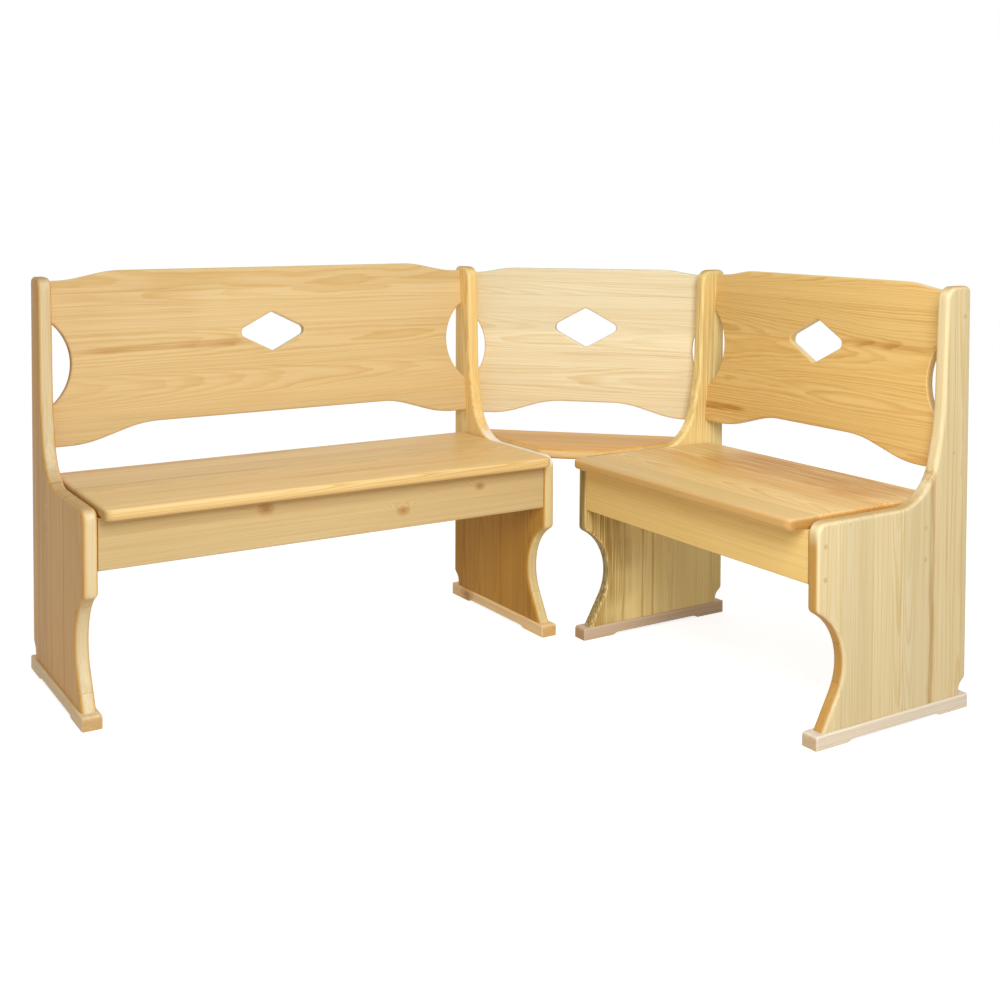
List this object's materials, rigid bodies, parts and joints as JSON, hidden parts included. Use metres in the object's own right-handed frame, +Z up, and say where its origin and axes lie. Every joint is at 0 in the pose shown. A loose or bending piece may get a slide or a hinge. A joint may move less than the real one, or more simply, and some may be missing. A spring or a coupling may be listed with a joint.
{
  "type": "corner bench",
  "caption": "Pine corner bench: a long and a short bench with shaped backs and diamond cut-outs, joined by a corner seat.",
  "frame": {"origin": "on the floor under the middle of the whole bench's bounding box", "axes": "+X along the long bench towards the corner, +Y towards the long bench's back, +Z up; the short bench's back faces +X"},
  "size_m": [1.6, 1.275, 0.8911],
  "materials": {
    "end_panel_long": "satin",
    "end_panel_short": "satin",
    "foot_rail_long": "satin",
    "foot_rail_short": "satin",
    "seat_long": "satin",
    "seat_short": "satin",
    "seat_corner": "satin",
    "apron_long": "satin",
    "apron_short": "satin",
    "rear_rail_long": "satin",
    "rear_rail_short": "satin",
    "backrest_long": "satin",
    "backrest_short": "satin",
    "backrest_corner": "satin",
    "cleat_long": "satin",
    "cleat_short": "satin",
    "plug_wood": "satin",
    "dowel_wood": "satin",
    "screw_steel": "satin"
  },
  "bodies": {
    "root": {"long_outer_end_panel": "end_panel_long", "long_outer_panel_plugs": "plug_wood", "long_outer_panel_screws": "screw_steel", "long_outer_foot_rail": "foot_rail_long", "long_outer_foot_screws": "screw_steel", "long_inner_end_panel": "end_panel_long", "long_inner_panel_plugs": "plug_wood", "long_inner_panel_screws": "screw_steel", "long_inner_foot_rail": "foot_rail_long", "long_inner_foot_screws": "screw_steel", "short_inner_end_panel": "end_panel_short", "short_inner_panel_plugs": "plug_wood", "short_inner_panel_screws": "screw_steel", "short_inner_foot_rail": "foot_rail_short", "short_inner_foot_screws": "screw_steel", "short_outer_end_panel": "end_panel_short", "short_outer_panel_plugs": "plug_wood", "short_outer_panel_screws": "screw_steel", "short_outer_foot_rail": "foot_rail_short", "short_outer_foot_screws": "screw_steel", "long_seat_board": "seat_long", "long_front_apron": "apron_long", "long_rear_rail": "rear_rail_long", "long_backrest_board": "backrest_long", "short_seat_board": "seat_short", "short_front_apron": "apron_short", "short_rear_rail": "rear_rail_short", "short_backrest_board": "backrest_short", "corner_seat_board": "seat_corner", "corner_backrest_board": "backrest_corner", "long_front_seat_cleat": "cleat_long", "long_front_cleat_screws": "screw_steel", "long_rear_seat_cleat": "cleat_long", "long_rear_cleat_screws": "screw_steel", "short_front_seat_cleat": "cleat_short", "short_front_cleat_screws": "screw_steel", "short_rear_seat_cleat": "cleat_short", "short_rear_cleat_screws": "screw_steel", "corner_left_seat_cleat": "cleat_short", "corner_left_cleat_screws": "screw_steel", "corner_right_seat_cleat": "cleat_long", "corner_right_cleat_screws": "screw_steel", "corner_left_backrest_dowels": "dowel_wood", "corner_right_backrest_dowels": "dowel_wood"}
  },
  "joints": []
}
